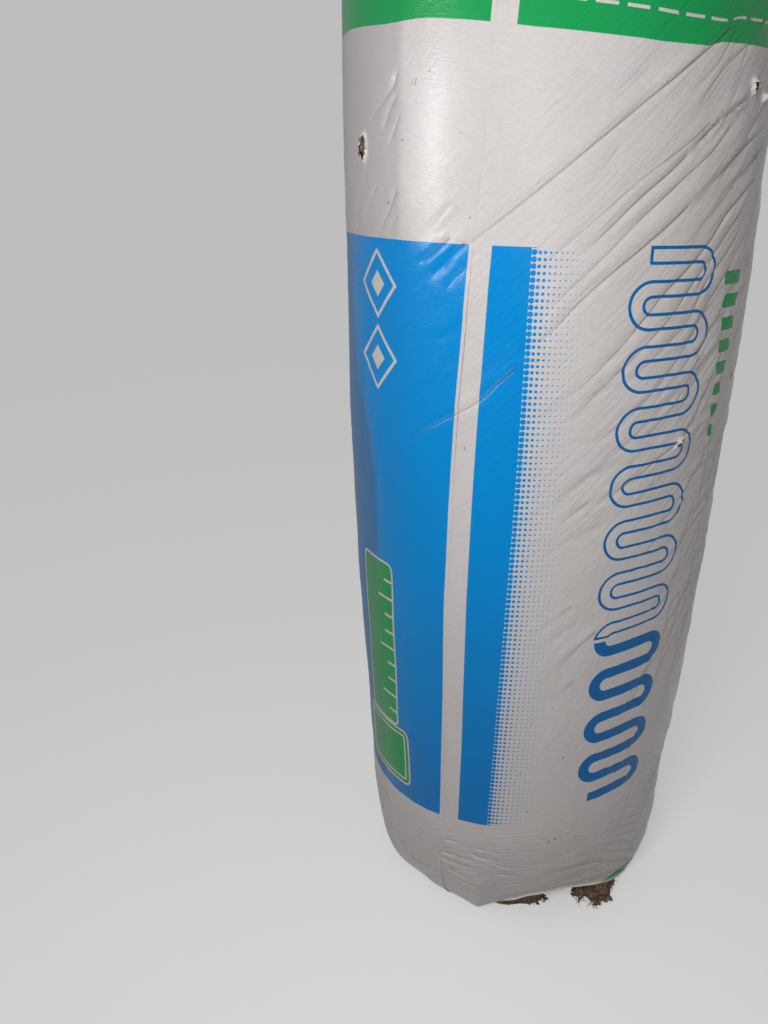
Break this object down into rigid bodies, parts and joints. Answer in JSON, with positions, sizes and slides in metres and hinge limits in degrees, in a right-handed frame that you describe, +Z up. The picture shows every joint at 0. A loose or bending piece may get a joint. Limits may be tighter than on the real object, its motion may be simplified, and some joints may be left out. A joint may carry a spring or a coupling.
{
  "type": "insulation roll",
  "caption": "Roll of glass wool insulation wrapped in printed plastic film, standing on its end, with its turns showing at both ends.",
  "frame": {"origin": "centre of the foot, on the floor, on the roll's winding axis", "axes": "+Z up along the winding axis; -Y is the front, the side that shows the film's lap seam; +X to the right of it"},
  "size_m": [0.4022, 0.4021, 1.2],
  "materials": {
    "glass_wool": "fibrous",
    "film": "glossy, creased film"
  },
  "bodies": {
    "root": {"wool_roll": "glass_wool", "film_wrap": "film"}
  },
  "joints": []
}
